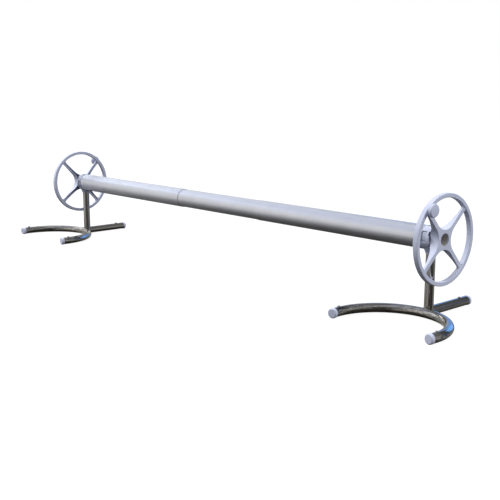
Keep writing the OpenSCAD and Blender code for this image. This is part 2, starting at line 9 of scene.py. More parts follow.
import bmesh
import bpy
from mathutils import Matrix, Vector


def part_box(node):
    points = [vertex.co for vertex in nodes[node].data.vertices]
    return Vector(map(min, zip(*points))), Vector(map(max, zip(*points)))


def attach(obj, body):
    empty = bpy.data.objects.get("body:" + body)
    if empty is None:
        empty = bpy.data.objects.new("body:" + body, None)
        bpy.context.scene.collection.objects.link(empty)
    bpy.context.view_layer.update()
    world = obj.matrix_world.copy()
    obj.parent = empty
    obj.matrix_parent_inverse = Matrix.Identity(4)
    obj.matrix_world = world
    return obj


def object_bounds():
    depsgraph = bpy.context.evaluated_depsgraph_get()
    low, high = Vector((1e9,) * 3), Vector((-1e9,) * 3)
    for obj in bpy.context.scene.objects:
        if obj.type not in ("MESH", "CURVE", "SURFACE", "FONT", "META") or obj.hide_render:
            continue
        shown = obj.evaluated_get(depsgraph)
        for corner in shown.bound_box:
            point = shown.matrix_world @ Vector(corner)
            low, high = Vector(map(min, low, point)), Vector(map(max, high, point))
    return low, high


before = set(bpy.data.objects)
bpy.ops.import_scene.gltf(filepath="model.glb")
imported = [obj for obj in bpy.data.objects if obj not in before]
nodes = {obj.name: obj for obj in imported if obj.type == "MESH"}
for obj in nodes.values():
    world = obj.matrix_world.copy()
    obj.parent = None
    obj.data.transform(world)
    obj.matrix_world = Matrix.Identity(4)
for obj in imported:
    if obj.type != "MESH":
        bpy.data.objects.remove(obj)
cad_low, cad_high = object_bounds()
print("nodes:", len(nodes), "size in metres:", [round(v, 3) for v in cad_high - cad_low])

# %% [markdown]
# The reel is seen from in front and from the right, a little above the handwheels, with the far end
# getting smaller. Such a strong perspective needs a camera close to the near wheel, so the place,
# the direction and the lens are set together. Tilt and turn are in degrees, place in metres and
# lens in millimetres.

# %% Camera
CAMERA_PLACE = (3.567, -2.965, 1.000)
CAMERA_TILT = 78.91
CAMERA_TURN = 48.11
SENSOR_WIDTH = 36
FOCAL_LENGTH = 61.45
SIDE_SHIFT = 0.0019
lens = bpy.data.cameras.new("view")
camera = bpy.data.objects.new("camera", lens)
bpy.context.scene.collection.objects.link(camera)
bpy.context.scene.camera = camera
bpy.context.scene.view_settings.view_transform = "Standard"
camera.location = CAMERA_PLACE
camera.rotation_euler = (math.radians(CAMERA_TILT), 0, math.radians(CAMERA_TURN))
lens.sensor_width = SENSOR_WIDTH
lens.lens = FOCAL_LENGTH
lens.shift_x = SIDE_SHIFT
print("camera at", tuple(round(v, 3) for v in camera.location))

# %% [markdown]
# Every finish and every light here is a small tree of shader nodes. Two helpers keep the trees
# readable: one puts down a node with its settings, and one joins an output to an input.


# %% Helpers for node trees
def put(tree, kind, inputs=None, **settings):
    """A new shader node. inputs sets its unlinked sockets by name or number."""
    node = tree.nodes.new("ShaderNode" + kind)
    for name, value in settings.items():
        setattr(node, name, value)
    for key, value in (inputs or {}).items():
        node.inputs[key].default_value = value
    return node


def join(tree, source, target):
    """A link from an output to an input."""
    tree.links.new(source, target)


def grey(value):
    """A neutral colour of one level."""
    return (value, value, value, 1)


def set_ramp(node, stops):
    """Gives a colour ramp its stops, each a position and a colour."""
    ramp = node.color_ramp
    while len(ramp.elements) > 1:
        ramp.elements.remove(ramp.elements[-1])
    ramp.elements[0].position, ramp.elements[0].color = stops[0]
    for position, colour in stops[1:]:
        ramp.elements.new(position).color = colour


def seen_directly(tree):
    """1 for rays that show the backdrop: from the camera or off polished metal."""
    path = put(tree, "LightPath")
    either = put(tree, "Math", operation="MAXIMUM")
    join(tree, path.outputs["Is Camera Ray"], either.inputs[0])
    join(tree, path.outputs["Is Glossy Ray"], either.inputs[1])
    return either.outputs[0]


print("helpers ready")

# %% [markdown]
# The sky dome of a plain studio: white where it is looked at, and a soft gradient, bright above and
# dim below, where it only lights things. The gradient is what makes round forms read as round.

# %% World
LIGHT_LEVEL = 1.0
LIGHT_BELOW = grey(0.02)
LIGHT_SIDE = (0.20, 0.208, 0.225, 1)
LIGHT_HIGH = (0.84, 0.87, 0.94, 1)
LIGHT_TOP = (0.92, 0.95, 1.0, 1)
world = bpy.data.worlds.new("studio")
bpy.context.scene.world = world
world.use_nodes = True
tree = world.node_tree
tree.nodes.clear()
direction = put(tree, "TexCoord")
axes = put(tree, "SeparateXYZ")
join(tree, direction.outputs["Generated"], axes.inputs[0])
height = put(tree, "MapRange", {"From Min": -1.0, "From Max": 1.0})
join(tree, axes.outputs["Z"], height.inputs["Value"])
dome = put(tree, "ValToRGB")
set_ramp(dome, [(0.0, LIGHT_BELOW), (0.5, LIGHT_SIDE), (0.8, LIGHT_HIGH), (1.0, LIGHT_TOP)])
join(tree, height.outputs[0], dome.inputs[0])
lighting = put(tree, "Background", {"Strength": LIGHT_LEVEL})
join(tree, dome.outputs[0], lighting.inputs["Color"])
backdrop = put(tree, "Background", {"Color": grey(1), "Strength": 1.0})
choice = put(tree, "MixShader")
join(tree, seen_directly(tree), choice.inputs[0])
join(tree, lighting.outputs[0], choice.inputs[1])
join(tree, backdrop.outputs[0], choice.inputs[2])
join(tree, choice.outputs[0], put(tree, "OutputWorld").inputs["Surface"])
print("world level", LIGHT_LEVEL)

# %% [markdown]
# The floor is a plain white sheet. To the camera most of its white is its own, and a smaller part
# is lit, so it stays white and still holds the reel's shadow. What it throws back up is kept low,
# as on a dark deck, so the undersides of the tubes and wheels stay in shade.

# %% Floor
FLOOR_SIZE = 80.0
FLOOR_GLOW = 1.05
GLOWING_SHARE = 0.88


def new_material(name):
    """An empty material and its tree."""
    material = bpy.data.materials.new(name)
    material.use_nodes = True
    material.node_tree.nodes.clear()
    return material, material.node_tree


far = FLOOR_SIZE / 2
sheet = bpy.data.meshes.new("floor")
corners = [(-far, -far, 0), (far, -far, 0), (far, far, 0), (-far, far, 0)]
sheet.from_pydata(corners, [], [(0, 1, 2, 3)])
floor = bpy.data.objects.new("floor", sheet)
bpy.context.scene.collection.objects.link(floor)
floor.visible_glossy = False
material, tree = new_material("floor_white")
sheet.materials.append(material)
bounce = put(tree, "BsdfDiffuse", {"Color": grey(0.06)})
lit = put(tree, "BsdfDiffuse", {"Color": grey(0.9)})
own = put(tree, "Emission", {"Color": grey(1), "Strength": FLOOR_GLOW})
shown = put(tree, "MixShader", {0: GLOWING_SHARE})
join(tree, lit.outputs[0], shown.inputs[1])
join(tree, own.outputs[0], shown.inputs[2])
choice = put(tree, "MixShader")
join(tree, seen_directly(tree), choice.inputs[0])
join(tree, bounce.outputs[0], choice.inputs[1])
join(tree, shown.outputs[0], choice.inputs[2])
join(tree, choice.outputs[0], put(tree, "OutputMaterial").inputs["Surface"])
print("floor", FLOOR_SIZE, "m wide")

# %% [markdown]
# Soft lamps. A large one high on the left and a little in front lights the upper sides of the
# spokes, knobs and caps, and a weak one on the right fills the face of the near wheel. Reflections
# don't see either, because a bright rectangle in a polished tube would give the studio away.

# %% Lamps
LAMPS = {
    "key": {
        "place": (-8.0, -4.0, 9.1), "size": (5.4, 4.0),
        "watts": 2000, "colour": (0.97, 0.98, 1.0),
    },
    "fill": {
        "place": (5.5, 0.5, 2.2), "size": (2.5, 1.5),
        "watts": 92, "colour": (0.96, 0.97, 1.0),
    },
}
middle = (cad_low + cad_high) / 2


def soft_lamp(name, place, size, watts, colour):
    """A rectangular soft lamp that aims at the middle of the reel."""
    data = bpy.data.lights.new(name, "AREA")
    data.shape = "RECTANGLE"
    data.size, data.size_y = size
    data.energy = watts
    data.color = colour
    lamp = bpy.data.objects.new(name, data)
    lamp.location = place
    lamp.visible_glossy = False
    lamp.rotation_euler = (middle - lamp.location).to_track_quat("-Z", "Y").to_euler()
    bpy.context.scene.collection.objects.link(lamp)


for name, settings in LAMPS.items():
    soft_lamp(name, **settings)
print("lamps:", list(LAMPS))

# %% [markdown]
# Polished tube shows whatever stands round it, so in an all-white room it turns white and loses its
# form. A studio answers that with painted screens. Here one dome takes their place: only
# reflections see it, it gives no light, and its tone follows the direction, with a dark line at the
# horizon behind the reel.

# %% Reflection dome
DOME_RADIUS = 12.0
DOME_SUBDIVISIONS = 4


def only_in_reflections(piece):
    """Hides a piece from everything but glossy rays, and keeps it out of the object."""
    piece.visible_camera = False
    piece.visible_diffuse = False
    piece.visible_transmission = False
    piece.visible_shadow = False


def toward(tree, direction, aim, start, full):
    """0 to 1 as a unit direction comes close to the aim, between two cosines."""
    likeness = put(tree, "VectorMath", {1: Vector(aim).normalized()}, operation="DOT_PRODUCT")
    join(tree, direction, likeness.inputs[0])
    reach = {"From Min": start, "From Max": full}
    near = put(tree, "MapRange", reach, interpolation_type="SMOOTHSTEP")
    join(tree, likeness.outputs["Value"], near.inputs["Value"])
    return near.outputs[0]


def blend_to(tree, factor, first, second):
    """Mix of two colours, each a plain colour or an output."""
    mix = put(tree, "MixRGB")
    join(tree, factor, mix.inputs[0])
    for socket, tone in ((mix.inputs[1], first), (mix.inputs[2], second)):
        if isinstance(tone, tuple):
            socket.default_value = tone
        else:
            join(tree, tone, socket)
    return mix.outputs[0]


mesh = bpy.data.meshes.new("reflection_dome")
shell = bmesh.new()
bmesh.ops.create_icosphere(shell, subdivisions=DOME_SUBDIVISIONS, radius=DOME_RADIUS)
shell.to_mesh(mesh)
shell.free()
screen = bpy.data.objects.new("reflection_dome", mesh)
bpy.context.scene.collection.objects.link(screen)
only_in_reflections(screen)
print("dome of", len(mesh.polygons), "faces")

# %% [markdown]
# The dome's tones stand for what is round a pool: bright ground and bluish daylight to the left,
# darker things towards the viewer, a dark hedge behind on the right with a dark roof over it, pale
# sky with one bright cloud above it all, and a deck that gets darker towards the feet. Each ring of
# tones goes round the compass at one height, in degrees, and each step between two rings is a pair
# of elevations.

# %% Tones of the dome
OLIVE, NAVY, HAZE = (0.12, 0.115, 0.085), (0.09, 0.11, 0.18), (0.16, 0.24, 0.42)
DAYLIGHT, PALE_BLUE = (1.36, 1.42, 1.52), (0.88, 0.92, 0.98)
GROUND = [
    (-180, 0.42), (-150, 0.26), (-108, 0.25), (-82, 0.34), (-60, 0.23),
    (-45, 0.06), (-9, 0.055), (22, 0.06), (54, 0.26), (110, 0.27),
]
EYE_LEVEL = [
    (-180, 0.66), (-105, 0.64), (-80, 0.36), (-60, 0.18), (-45, 0.065), (-30, 0.07),
    (0, 0.27), (33, 0.42), (56, NAVY), (78, NAVY), (108, HAZE), (140, 0.6),
]
HIGHER = [
    (-180, DAYLIGHT), (-150, PALE_BLUE), (-120, 0.62), (-90, 0.60), (-65, 0.30), (-45, 0.26),
    (-20, 0.35), (32, 0.45), (44, 0.35), (57, OLIVE), (98, OLIVE), (125, 0.50),
]
SKY = (0.43, 0.45, 0.53, 1)
UNDERFOOT = (0.03, 0.028, 0.025, 1)
FEET_TO_GROUND, GROUND_TO_EYE = (-45, -14), (-11, -5)
EYE_TO_HIGHER, HIGHER_TO_SKY = (20, 29), (34, 47)
ROOF = ((0.32, 0.38, 0.87), 0.78, 0.90, grey(0.18))
CLOUD = ((-0.33, 0.12, 0.93), 0.955, 0.985, grey(0.8))


def warm_grey(tone):
    """The grey of dry ground and stone, a little warmer than neutral."""
    return (1.03 * tone, tone, 0.95 * tone, 1)


def compass_ring(tree, turn, stops):
    """A ramp round the horizon of greys or colours at compass angles, closed on itself."""
    ring = put(tree, "ValToRGB")
    angles = [(angle + 180) / 360 for angle, _ in stops] + [1.0]
    colours = [warm_grey(tone) if isinstance(tone, float) else (*tone, 1) for _, tone in stops]
    set_ramp(ring, list(zip(angles, colours + colours[:1])))
    join(tree, turn, ring.inputs[0])
    return ring.outputs[0]


def above(tree, level, start, full):
    """0 to 1 as the height of a direction goes from one elevation to another, in degrees."""
    low, high = math.sin(math.radians(start)), math.sin(math.radians(full))
    reach = {"From Min": low, "From Max": high}
    step = put(tree, "MapRange", reach, interpolation_type="SMOOTHSTEP")
    join(tree, level, step.inputs["Value"])
    return step.outputs[0]


material, tree = new_material("reflection_dome")
mesh.materials.append(material)
where = put(tree, "TexCoord")
unit = put(tree, "VectorMath", operation="NORMALIZE")
join(tree, where.outputs["Object"], unit.inputs[0])
direction = unit.outputs[0]
axes = put(tree, "SeparateXYZ")
join(tree, direction, axes.inputs[0])
compass = put(tree, "Math", operation="ARCTAN2")
join(tree, axes.outputs["Y"], compass.inputs[0])
join(tree, axes.outputs["X"], compass.inputs[1])
turn = put(tree, "MapRange", {"From Min": -math.pi, "From Max": math.pi})
join(tree, compass.outputs[0], turn.inputs["Value"])
rings = [compass_ring(tree, turn.outputs[0], stops) for stops in (GROUND, EYE_LEVEL, HIGHER)]
level = axes.outputs["Z"]
steps = (FEET_TO_GROUND, GROUND_TO_EYE, EYE_TO_HIGHER, HIGHER_TO_SKY)
tones = UNDERFOOT
for (start, full), higher in zip(steps, (*rings, SKY)):
    tones = blend_to(tree, above(tree, level, start, full), tones, higher)
for aim, start, full, colour in (ROOF, CLOUD):
    tones = blend_to(tree, toward(tree, direction, aim, start, full), tones, colour)
print("dome tones:", len(GROUND) + len(EYE_LEVEL) + len(HIGHER), "stops")

# %% [markdown]
# Two touches more: a gap of blue in the hedge, in two soft spots side by side, and a slow noise
# over all the tones, because nothing outdoors is as even as paint. Bent tubes stretch the noise
# into streaks.

# %% Blue gap and streaks
DARKEST_STREAK, BRIGHTEST_STREAK = 0.38, 1.65
BLUE_SPOTS = [
    ((-0.33, 0.89, 0.32), 0.945, (0.26, 0.48, 0.95, 1)),
    ((0.02, 0.97, 0.24), 0.950, (0.34, 0.80, 1.75, 1)),
]
BLUE_FULL = 0.985
broken = put(tree, "TexNoise", {"Scale": 7.0, "Detail": 3.0, "Roughness": 0.55})
join(tree, direction, broken.inputs["Vector"])
contrast = {
    "From Min": 0.38, "From Max": 0.62,
    "To Min": DARKEST_STREAK, "To Max": BRIGHTEST_STREAK,
}
streaks = put(tree, "MapRange", contrast)
join(tree, broken.outputs["Fac"], streaks.inputs["Value"])
streaked = put(tree, "VectorMath", operation="SCALE")
join(tree, tones, streaked.inputs[0])
join(tree, streaks.outputs[0], streaked.inputs["Scale"])
seen = streaked.outputs[0]
for aim, start, colour in BLUE_SPOTS:
    seen = blend_to(tree, toward(tree, direction, aim, start, BLUE_FULL), seen, colour)
glow = put(tree, "Emission")
join(tree, seen, glow.inputs["Color"])
join(tree, glow.outputs[0], put(tree, "OutputMaterial").inputs["Surface"])
print("blue spots:", len(BLUE_SPOTS))

# %% [markdown]
# Some effects come back in several finishes: a slow drift of the colour, a fine grain, worn edges
# and the lines that drawing leaves on a tube. Each is a node group with its own dials, built once
# and used with other values in each finish. First a helper that makes an empty group with its
# sockets.


# %% Helper for node groups
def new_group(name, inputs, outputs):
    """An empty shader group. inputs are (name, kind, default) and outputs (name, kind)."""
    group = bpy.data.node_groups.new(name, "ShaderNodeTree")
    for label, kind, default in inputs:
        socket = group.interface.new_socket(label, in_out="INPUT", socket_type="NodeSocket" + kind)
        if default is not None:
            socket.default_value = default
    for label, kind in outputs:
        group.interface.new_socket(label, in_out="OUTPUT", socket_type="NodeSocket" + kind)
    start = group.nodes.new("NodeGroupInput")
    end = group.nodes.new("NodeGroupOutput")
    return group, start, end


def use(tree, group, **values):
    """The group as a node in a material, with its dials set. An underscore stands for a space."""
    node = tree.nodes.new("ShaderNodeGroup")
    node.node_tree = group
    for name, value in values.items():
        node.inputs[name.replace("_", " ")].default_value = value
    return node


print("group helpers ready")

# %% [markdown]
# Slow drift: no batch of plastic and no stretch of metal has one even colour. Two close tones are
# mixed by a soft noise, a few centimetres from patch to patch.

# %% Group for slow drift
drift, start, end = new_group(
    "slow_drift",
    [("Tone A", "Color", grey(0.5)), ("Tone B", "Color", grey(0.6)), ("Scale", "Float", 12.0)],
    [("Color", "Color")],
)
where = put(drift, "TexCoord")
noise = put(drift, "TexNoise", {"Detail": 3.0, "Roughness": 0.55})
join(drift, where.outputs["Object"], noise.inputs["Vector"])
join(drift, start.outputs["Scale"], noise.inputs["Scale"])
spread = put(drift, "MapRange", {"From Min": 0.35, "From Max": 0.65})
join(drift, noise.outputs["Fac"], spread.inputs["Value"])
tones = put(drift, "MixRGB")
join(drift, spread.outputs[0], tones.inputs[0])
join(drift, start.outputs["Tone A"], tones.inputs[1])
join(drift, start.outputs["Tone B"], tones.inputs[2])
join(drift, tones.outputs[0], end.inputs["Color"])
print("group", drift.name)

# %% [markdown]
# Fine grain: a moulding tool is etched, so the plastic has a close, shallow grain that breaks up
# the shine. It is a height for a bump and a mask for the gloss, from a noise with grains of about
# half a millimetre.

# %% Group for fine grain
grain, start, end = new_group(
    "fine_grain",
    [("Scale", "Float", 1600.0), ("Gloss", "Float", 0.45), ("Spread", "Float", 0.08)],
    [("Height", "Float"), ("Roughness", "Float")],
)
where = put(grain, "TexCoord")
fine = put(grain, "TexNoise", {"Detail": 1.0, "Roughness": 0.5})
join(grain, where.outputs["Object"], fine.inputs["Vector"])
join(grain, start.outputs["Scale"], fine.inputs["Scale"])
rubbed = put(grain, "TexNoise", {"Scale": 22.0, "Detail": 4.0, "Roughness": 0.6})
join(grain, where.outputs["Object"], rubbed.inputs["Vector"])
centred = put(grain, "Math", {1: 0.5}, operation="SUBTRACT")
join(grain, rubbed.outputs["Fac"], centred.inputs[0])
scaled = put(grain, "Math", operation="MULTIPLY")
join(grain, centred.outputs[0], scaled.inputs[0])
join(grain, start.outputs["Spread"], scaled.inputs[1])
total = put(grain, "Math", operation="ADD")
join(grain, start.outputs["Gloss"], total.inputs[0])
join(grain, scaled.outputs[0], total.inputs[1])
join(grain, fine.outputs["Fac"], end.inputs["Height"])
join(grain, total.outputs[0], end.inputs["Roughness"])
print("group", grain.name)

# %% [markdown]
# Worn edges: hands and deck stone rub the corners first. The bevel node looks round each point for
# a corner within a small radius, so the difference between its normal and the true one is a mask of
# the edges, and its normal also softens the corner's shading, as the real rounding does.

# %% Group for worn edges
edges, start, end = new_group(
    "worn_edges",
    [("Amount", "Float", 1.0)],
    [("Mask", "Float"), ("Normal", "Vector")],
)
EDGE_RADIUS = 0.0012
bevel = put(edges, "Bevel", {"Radius": EDGE_RADIUS}, samples=8)
true_normal = put(edges, "NewGeometry")
alike = put(edges, "VectorMath", operation="DOT_PRODUCT")
join(edges, bevel.outputs[0], alike.inputs[0])
join(edges, true_normal.outputs["Normal"], alike.inputs[1])
corner = put(edges, "MapRange", {"From Min": 0.995, "From Max": 0.8})
join(edges, alike.outputs["Value"], corner.inputs["Value"])
where = put(edges, "TexCoord")
chips = put(edges, "TexNoise", {"Scale": 60.0, "Detail": 4.0, "Roughness": 0.7})
join(edges, where.outputs["Object"], chips.inputs["Vector"])
patchy = put(edges, "MapRange", {"From Min": 0.42, "From Max": 0.62})
join(edges, chips.outputs["Fac"], patchy.inputs["Value"])
worn = put(edges, "Math", operation="MULTIPLY")
join(edges, corner.outputs[0], worn.inputs[0])
join(edges, patchy.outputs[0], worn.inputs[1])
dialled = put(edges, "Math", operation="MULTIPLY")
join(edges, worn.outputs[0], dialled.inputs[0])
join(edges, start.outputs["Amount"], dialled.inputs[1])
join(edges, dialled.outputs[0], end.inputs["Mask"])
join(edges, bevel.outputs[0], end.inputs["Normal"])
print("group", edges.name)

# %% [markdown]
# Draw lines: a tube pulled through its die and polished lengthwise keeps hair-fine lines along its
# length. Noise squeezed across the tube and stretched along it gives them. The group takes a
# position whose X runs along the tube, so the same group serves straight tubes and the bent foot.

# %% Group for draw lines
lines, start, end = new_group(
    "draw_lines",
    [
        ("Vector", "Vector", None), ("Fineness", "Float", 900.0),
        ("Gloss", "Float", 0.1), ("Spread", "Float", 0.1),
    ],
    [("Height", "Float"), ("Roughness", "Float")],
)
STRETCH = 0.012
squeeze = put(lines, "VectorMath", {1: (STRETCH, 1.0, 1.0)}, operation="MULTIPLY")
join(lines, start.outputs["Vector"], squeeze.inputs[0])
hair = put(lines, "TexNoise", {"Detail": 2.0, "Roughness": 0.6})
join(lines, squeeze.outputs[0], hair.inputs["Vector"])
join(lines, start.outputs["Fineness"], hair.inputs["Scale"])
broad = put(lines, "TexNoise", {"Scale": 45.0, "Detail": 2.0, "Roughness": 0.5})
join(lines, squeeze.outputs[0], broad.inputs["Vector"])
dulled = put(lines, "MapRange", {"From Min": 0.4, "From Max": 0.7})
join(lines, broad.outputs["Fac"], dulled.inputs["Value"])
scaled = put(lines, "Math", operation="MULTIPLY")
join(lines, dulled.outputs[0], scaled.inputs[0])
join(lines, start.outputs["Spread"], scaled.inputs[1])
total = put(lines, "Math", operation="ADD")
join(lines, start.outputs["Gloss"], total.inputs[0])
join(lines, scaled.outputs[0], total.inputs[1])
join(lines, hair.outputs["Fac"], end.inputs["Height"])
join(lines, total.outputs[0], end.inputs["Roughness"])
print("group", lines.name)

# %% [markdown]
# Two finishes change with the distance from the reel's axis: the drum's pockets get painted shade
# on their floors, and the axle is dull in its bore, where its scale is painted paler as painted
# light.
# A helper turns that distance into a mask. The axis runs along X through the middle of the axle, so
# its height and depth come from the axle's box.

# %% Distance from the reel's axis
axle_low, axle_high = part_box("right_axle")
REEL_AXIS = ((axle_low.y + axle_high.y) / 2, (axle_low.z + axle_high.z) / 2)
HALF_EDGE = 0.0002


def inside_tube(tree, middle_y, middle_z, radius):
    """1 nearer than the radius to a line along X, and 0 outside it."""
    where = put(tree, "TexCoord")
    across = put(tree, "VectorMath", {1: (0.0, 1.0, 1.0)}, operation="MULTIPLY")
    join(tree, where.outputs["Object"], across.inputs[0])
    offset = put(tree, "VectorMath", {1: (0.0, middle_y, middle_z)}, operation="DISTANCE")
    join(tree, across.outputs[0], offset.inputs[0])
    nearer = put(tree, "MapRange", {"From Min": radius + HALF_EDGE, "From Max": radius - HALF_EDGE})
    join(tree, offset.outputs["Value"], nearer.inputs["Value"])
    return nearer.outputs[0]


print("reel axis at y and z:", [round(v, 4) for v in REEL_AXIS])

# %% [markdown]
# Moulded plastic for the handwheels, knobs, bearing housings and foot caps: a pale lavender grey
# with a satin gloss, a fine grain, a slow drift of the tone, and corners rubbed a little paler. The
# housings take a darker copy, as painted shade, and their pocket floors are darker again, also as
# painted shade.


# %% Moulded plastic
# Painted shade: near the axis, on the pocket floors, a darker tone stands in for the shade in the
# pockets.
POCKET_PAINTED_SHADE = (0.40, 0.42, 0.50, 1)
POCKET_FLOOR = 0.0510


def moulded_plastic(name, tone_a, tone_b, worn_tone, gloss, floor_radius=None):
    """A moulded plastic between two tones, paler on corners, and with painted shade near the axis
    if asked.
    """
    material, tree = new_material(name)
    body = use(tree, drift, Tone_A=tone_a, Tone_B=tone_b, Scale=9.0)
    wear = use(tree, edges, Amount=0.35)
    texture = use(tree, grain, Scale=1500.0, Gloss=gloss, Spread=0.16)
    colour = put(tree, "MixRGB", {2: worn_tone})
    join(tree, wear.outputs["Mask"], colour.inputs[0])
    if floor_radius:
        pocket_shade_mask = inside_tube(tree, *REEL_AXIS, floor_radius)
        pocket_shaded = blend_to(tree, pocket_shade_mask, body.outputs["Color"], POCKET_PAINTED_SHADE)
        join(tree, pocket_shaded, colour.inputs[1])
    else:
        join(tree, body.outputs["Color"], colour.inputs[1])
    bump = put(tree, "Bump", {"Strength": 0.05, "Distance": 0.0002})
    join(tree, texture.outputs["Height"], bump.inputs["Height"])
    join(tree, wear.outputs["Normal"], bump.inputs["Normal"])
    shader = put(tree, "BsdfPrincipled", {"IOR": 1.5, "Specular IOR Level": 0.4})
    join(tree, colour.outputs[0], shader.inputs["Base Color"])
    join(tree, texture.outputs["Roughness"], shader.inputs["Roughness"])
    join(tree, bump.outputs[0], shader.inputs["Normal"])
    join(tree, shader.outputs[0], put(tree, "OutputMaterial").inputs["Surface"])
    return material


lavender = moulded_plastic(
    "lavender_plastic", tone_a=(0.50, 0.525, 0.64, 1), tone_b=(0.54, 0.565, 0.68, 1),
    worn_tone=(0.66, 0.68, 0.77, 1), gloss=0.42,
)
# Painted shade: the housings are the wheel's plastic, made a little darker to stand in for the
# shade they sit in.
shaded_housing_plastic = moulded_plastic(
    "shaded_housing_plastic", tone_a=(0.45, 0.47, 0.575, 1), tone_b=(0.49, 0.515, 0.62, 1),
    worn_tone=(0.60, 0.62, 0.71, 1), gloss=0.42, floor_radius=POCKET_FLOOR,
)
cap_plastic = moulded_plastic(
    "cap_plastic", tone_a=(0.51, 0.535, 0.65, 1), tone_b=(0.56, 0.585, 0.70, 1),
    worn_tone=(0.67, 0.69, 0.79, 1), gloss=0.40,
)
bearing_plastic = moulded_plastic(
    "bearing_plastic", tone_a=(0.010, 0.010, 0.012, 1), tone_b=(0.018, 0.018, 0.021, 1),
    worn_tone=(0.05, 0.05, 0.055, 1), gloss=0.55,
)
print("plastics ready")

# %% [markdown]
# Polished stainless tube for the posts and feet. The metal itself is a warm grey, and its gloss
# varies along hair lines left by polishing. On the straight tubes the lines run along one axis. On
# the bow they follow the bend, so the position is first turned into distance along the bend,
# distance across it, and height.


# %% Position along a tube
def along_axis(tree, axis):
    """Object position with the tube's own axis first."""
    where = put(tree, "TexCoord")
    split = put(tree, "SeparateXYZ")
    join(tree, where.outputs["Object"], split.inputs[0])
    order = {"X": "XYZ", "Y": "YZX", "Z": "ZXY"}[axis]
    packed = put(tree, "CombineXYZ")
    for target, source in zip("XYZ", order):
        join(tree, split.outputs[source], packed.inputs[target])
    return packed.outputs[0]


def along_bend(tree, centre, radius):
    """Object position as way along a flat bend, distance from its centre, and height."""
    where = put(tree, "TexCoord")
    from_centre = put(tree, "VectorMath", {1: centre}, operation="SUBTRACT")
    join(tree, where.outputs["Object"], from_centre.inputs[0])
    split = put(tree, "SeparateXYZ")
    join(tree, from_centre.outputs[0], split.inputs[0])
    angle = put(tree, "Math", operation="ARCTAN2")
    join(tree, split.outputs["X"], angle.inputs[0])
    join(tree, split.outputs["Y"], angle.inputs[1])
    way = put(tree, "Math", {1: radius}, operation="MULTIPLY")
    join(tree, angle.outputs[0], way.inputs[0])
    flat = put(tree, "CombineXYZ")
    join(tree, split.outputs["X"], flat.inputs["X"])
    join(tree, split.outputs["Y"], flat.inputs["Y"])
    distance = put(tree, "VectorMath", operation="LENGTH")
    join(tree, flat.outputs[0], distance.inputs[0])
    packed = put(tree, "CombineXYZ")
    join(tree, way.outputs[0], packed.inputs["X"])
    join(tree, distance.outputs["Value"], packed.inputs["Y"])
    join(tree, split.outputs["Z"], packed.inputs["Z"])
    return packed.outputs[0]


print("tube positions ready")

# %% [markdown]
# The metals share one recipe and differ in tone, gloss and the fineness of their lines: mirror-like
# stainless for the stands, satin anodised aluminium for the roller and dull zinc on the small
# screws. A drawn tube is polished outside only, so the recipe can also give the inside of a tube a
# dull brown-grey scale, painted paler than the steel as painted light in the shaded bore.


# %% Metals
STEEL_A, STEEL_B = (0.43, 0.42, 0.405, 1), (0.50, 0.49, 0.475, 1)
# The bore's scale is dull brown-grey, and its tones are painted paler than the steel as painted
# light, for a bore that gets little light.
SCALE_AND_PAINTED_LIGHT_A, SCALE_AND_PAINTED_LIGHT_B = (0.50, 0.475, 0.44, 1), (0.72, 0.69, 0.66, 1)
SCALE_GLOSS, SCALE_METALLIC = 0.6, 0.35


def drawn_metal(name, position, tone_a, tone_b, gloss, spread, bump_height, fineness, bore=None):
    """A drawn tube. position gives, for a tree, the output whose X runs along the tube.
    bore is a place in y and z and a radius, inside which the metal is a dull scale, painted paler
    as painted light."""
    material, tree = new_material(name)
    body = use(tree, drift, Tone_A=tone_a, Tone_B=tone_b, Scale=14.0)
    drawn = use(tree, lines, Fineness=fineness, Gloss=gloss, Spread=spread)
    join(tree, position(tree), drawn.inputs["Vector"])
    wear = use(tree, edges, Amount=0.5)
    bump = put(tree, "Bump", {"Strength": 0.25, "Distance": bump_height})
    join(tree, drawn.outputs["Height"], bump.inputs["Height"])
    join(tree, wear.outputs["Normal"], bump.inputs["Normal"])
    shader = put(tree, "BsdfPrincipled", {"Metallic": 1.0})
    colour, gloss_out = body.outputs["Color"], drawn.outputs["Roughness"]
    if bore:
        inside = inside_tube(tree, *bore)
        # Dull scale inside the bore, painted paler as painted light.
        scale_and_painted_light = use(tree, drift, Tone_A=SCALE_AND_PAINTED_LIGHT_A, Tone_B=SCALE_AND_PAINTED_LIGHT_B, Scale=60.0)
        colour = blend_to(tree, inside, colour, scale_and_painted_light.outputs["Color"])
        gloss_out = blend_to(tree, inside, gloss_out, grey(SCALE_GLOSS))
        metallic = put(tree, "MapRange", {"To Min": 1.0, "To Max": SCALE_METALLIC})
        join(tree, inside, metallic.inputs["Value"])
        join(tree, metallic.outputs[0], shader.inputs["Metallic"])
    join(tree, colour, shader.inputs["Base Color"])
    join(tree, gloss_out, shader.inputs["Roughness"])
    join(tree, bump.outputs[0], shader.inputs["Normal"])
    join(tree, shader.outputs[0], put(tree, "OutputMaterial").inputs["Surface"])
    return material


def stainless(name, position, bore=None):
    """Polished stainless tube."""
    return drawn_metal(
        name, position, STEEL_A, STEEL_B,
        gloss=0.045, spread=0.06, bump_height=0.00001, fineness=700.0, bore=bore,
    )


